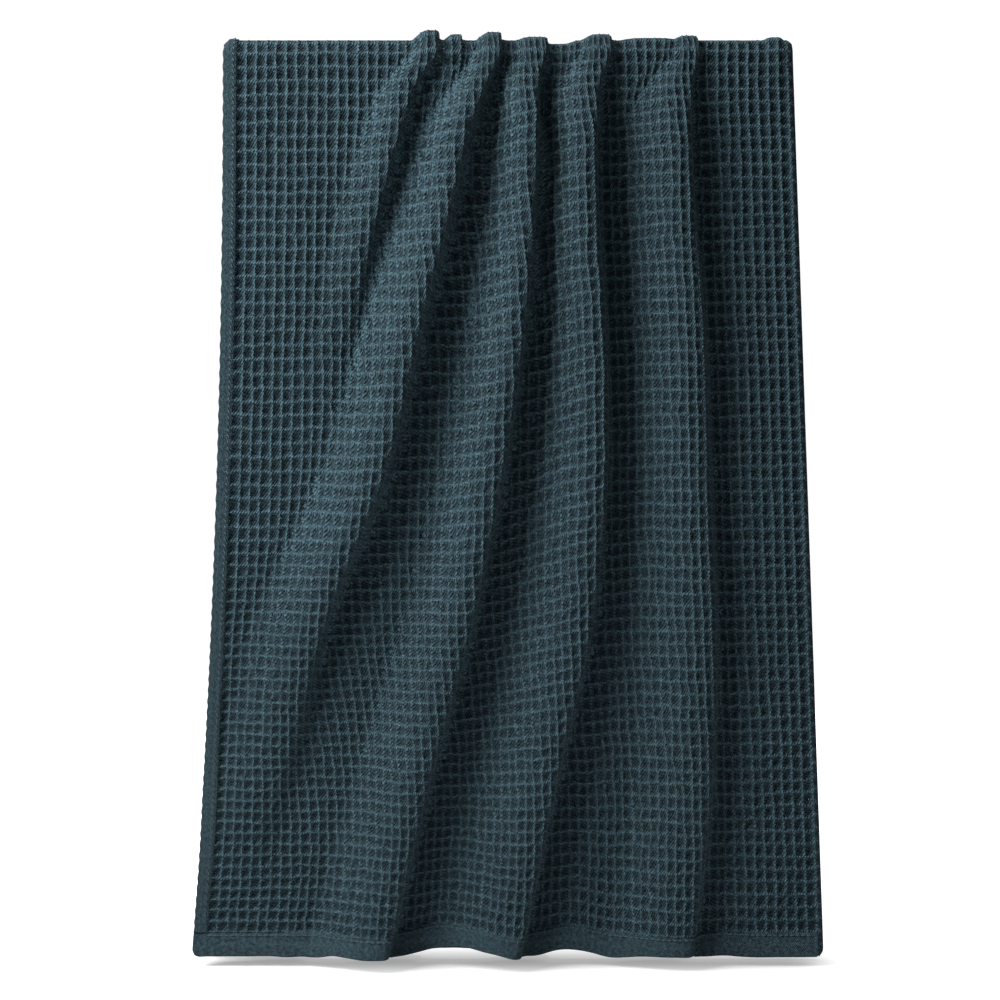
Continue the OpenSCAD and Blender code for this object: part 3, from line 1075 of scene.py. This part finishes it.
class THROW_OT_edges(bpy.types.Operator):
    """Build the side folds, side hems and bottom hems of both leaves"""

    bl_idname = "throw.edges"
    bl_label = "Hems and folds"

    def execute(self, context):
        settings = context.scene.throw
        for leaf, word in ((FRONT, "front"), (BACK, "back")):
            build_side_hem(settings, leaf, False, f"{word}_outer_side_hem")
            build_side_hem(settings, leaf, True, f"{word}_inner_side_hem")
            build_bottom_hem(settings, leaf, False, f"{word}_outer_hem", 0.0)
            build_bottom_hem(settings, leaf, True, f"{word}_inner_hem", INNER_LIFT)
            build_side_fold(settings, leaf, f"{word}_side_fold")
        return {"FINISHED"}


def thread_points(leaf, x, q, out):
    """Stitch places on the outer face."""
    up, _, shift, _ = leaf.lift(x, q)
    points = bend_over(leaf.side, OUTER_R, x + shift, up + out, q)
    points[..., 2] += drawn_up(leaf, x, q)
    return points


def build_thread(settings, name, at, along, node, leaf, blended):
    """One run of stitches at given points and directions. A blended run has its transform baked in, any
    other one is attached to its leaf.
    """
    mesh = bpy.data.meshes.new(name)
    mesh.from_pydata(at.tolist(), [], [])
    put(mesh, "along", along)
    obj = add_object(name, mesh)
    values = {"Stitch length": 0.0036, "Thread width": 0.0010}
    bake_tree(obj, tree_named("Stitch Run", stitch_tree), values, material(settings, "thread"))
    if blended:
        hang(obj)
    else:
        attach(obj, "front_leaf" if leaf.side < 0 else "back_leaf")
    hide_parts(node)


class THROW_OT_thread(bpy.types.Operator):
    """Sew the stitches of the hems"""

    bl_idname = "throw.thread"
    bl_label = "Stitches"

    def execute(self, context):
        settings = context.scene.throw
        for leaf, word in ((FRONT, "front"), (BACK, "back")):
            fine = np.linspace(-HEM_HALF + 0.012, HEM_HALF - 0.006, 4000)
            line = np.full_like(fine, TOTAL - settings.hem + 0.0022)
            path = thread_points(leaf, fine, line, 0.0012)
            run = np.concatenate(([0.0], np.cumsum(np.linalg.norm(np.diff(path, axis=0), axis=1))))
            marks = np.arange(0.003, run[-1] - 0.003, HEM_STITCH)
            at = np.stack([np.interp(marks, run, path[:, k]) for k in range(3)], axis=-1)
            ahead = np.stack([np.interp(marks + 0.001, run, path[:, k]) for k in range(3)], axis=-1)
            node = f"{word}_hem_thread"
            build_thread(settings, f"{word}_hem_stitches", at, ahead - at, node, leaf, False)
            q = np.arange(0.004, TOTAL - settings.hem - 0.004, SIDE_STITCH)
            x = left_edge(q) + 0.0088
            at = thread_points(leaf, x, q, 0.0013)
            ahead = thread_points(leaf, x, q + 0.001, 0.0013)
            along = (ahead - at) + np.array([0.0006, 0.0, 0.0])
            node = f"{word}_side_thread"
            build_thread(settings, f"{word}_side_stitches", at, along, node, leaf, True)
        return {"FINISHED"}


# ---------------------------------------------------------------- stage


def light(name, place, aim, size, power):
    """A soft rectangular light aimed at a point."""
    data = bpy.data.lights.new(name, "AREA")
    data.shape = "RECTANGLE"
    data.size, data.size_y = size
    data.energy = power
    obj = add_object(name, data)
    obj.location = place
    back = np.array(place) - np.array(aim)
    obj.rotation_mode = "QUATERNION"
    obj.rotation_quaternion = Vector(-back).to_track_quat("-Z", "Y")


def floor_material():
    """Pale floor that the camera sees as bright as the backdrop, but for the soft shadow on it: a shadow
    cast by the lamps, and a painted shadow where its glow is dimmed round the throw's footprint.
    """
    made, g, both = new_material("Pale floor", "ShaderNodeAddShader")
    paint = g.node("ShaderNodeBsdfDiffuse")
    paint.inputs["Color"].default_value = (0.80, 0.80, 0.80, 1.0)
    glow_with_painted_shadow = g.node("ShaderNodeEmission")
    path = g.node("ShaderNodeLightPath")
    place = g.node("ShaderNodeTexCoord")
    parts = g.node("ShaderNodeSeparateXYZ")
    g.link(place.outputs["Object"], parts.inputs[0])
    # The glow falls from 1.02 to 0.30 near the throw's footprint: painted shadow under the hem
    beside = g.math("MAXIMUM", g.math("SUBTRACT", g.math("ABSOLUTE", parts.outputs[0]), 0.23), 0.0)
    ahead = g.math("ABSOLUTE", g.math("ADD", parts.outputs[1], -0.010))
    away = g.math("SQRT", g.math("ADD", g.math("POWER", beside, 2.0), g.math("POWER", ahead, 2.0)))
    fade = g.node("ShaderNodeMapRange", interpolation_type="SMOOTHSTEP")
    g.link(away, fade.inputs["Value"])
    fade.inputs["From Min"].default_value = 0.0
    fade.inputs["From Max"].default_value = 0.075
    fade.inputs["To Min"].default_value = 0.30
    fade.inputs["To Max"].default_value = 1.02
    g.link(g.math("MULTIPLY", path.outputs["Is Camera Ray"], fade.outputs[0]), glow_with_painted_shadow.inputs["Strength"])
    g.link(paint.outputs[0], both.inputs[0])
    g.link(glow_with_painted_shadow.outputs[0], both.inputs[1])
    return made


def studio_world():
    """White backdrop to the camera, and a weak even fill to everything else."""
    world = bpy.data.worlds.new("Studio")
    world.use_nodes = True
    tree = world.node_tree
    tree.nodes.clear()
    g = Graph(tree)
    out = g.node("ShaderNodeOutputWorld")
    seen = g.node("ShaderNodeBackground")
    seen.inputs["Color"].default_value = (1.0, 1.0, 1.0, 1.0)
    path = g.node("ShaderNodeLightPath")
    g.link(g.math("ADD", 0.045, path.outputs["Is Camera Ray"]), seen.inputs["Strength"])
    g.link(seen.outputs[0], out.inputs["Surface"])
    return world


class THROW_OT_stage(bpy.types.Operator):
    """Set up the pale floor, the soft light and the camera"""

    bl_idname = "throw.stage"
    bl_label = "Studio stage"

    def execute(self, context):
        scene = context.scene
        mesh = bpy.data.meshes.new("Floor")
        z = FOOT_Z - 0.012
        mesh.from_pydata([(-6, -6, z), (6, -6, z), (6, 6, z), (-6, 6, z)], [], [(0, 1, 2, 3)])
        floor = add_object("Floor", mesh)
        mesh.materials.append(floor_material())
        scene.world = studio_world()
        light("Key light", (-0.98, -0.66, 0.38), (-0.1, 0.0, -0.36), (0.8, 0.7), 26.0)
        light("Back fill", (0.7, 2.0, 0.3), (0.0, 0.0, -0.36), (1.4, 1.2), 22.0)
        light("Top fill", (0.0, 0.12, 1.4), (0.0, 0.12, 0.0), (0.7, 0.5), 9.0)
        camera_data = bpy.data.cameras.new("Camera")
        camera = add_object("Camera", camera_data)
        camera_data.sensor_width = 36.0
        camera_data.lens = 70.5
        camera_data.dof.use_dof = False
        camera.location = (-0.0066, -1.63, -0.367)
        camera.rotation_euler = (math.pi / 2, 0.0, 0.0)
        scene.camera = camera
        scene.view_settings.view_transform = "Standard"
        return {"FINISHED"}


class THROW_PT_panel(bpy.types.Panel):
    """Sidebar panel of the throw"""

    bl_label = "Waffle Throw"
    bl_idname = "THROW_PT_panel"
    bl_space_type = "VIEW_3D"
    bl_region_type = "UI"
    bl_category = "Throw"

    def draw(self, context):
        layout = self.layout
        settings = context.scene.throw
        for name in ThrowSettings.__annotations__:
            layout.prop(settings, name)
        for step in STEPS:
            layout.operator(step.bl_idname)


STEPS = (
    THROW_OT_front_outer,
    THROW_OT_front_inner,
    THROW_OT_back_outer,
    THROW_OT_back_inner,
    THROW_OT_edges,
    THROW_OT_thread,
    THROW_OT_stage,
)
CLASSES = (ThrowSettings, *STEPS, THROW_PT_panel)


def register():
    for c in CLASSES:
        bpy.utils.register_class(c)
    bpy.types.Scene.throw = bpy.props.PointerProperty(type=ThrowSettings)


def unregister():
    del bpy.types.Scene.throw
    for c in reversed(CLASSES):
        bpy.utils.unregister_class(c)


def main():
    register()
    for step in STEPS:
        group, name = step.bl_idname.split(".")
        getattr(getattr(bpy.ops, group), name)()


if __name__ == "__main__":
    main()
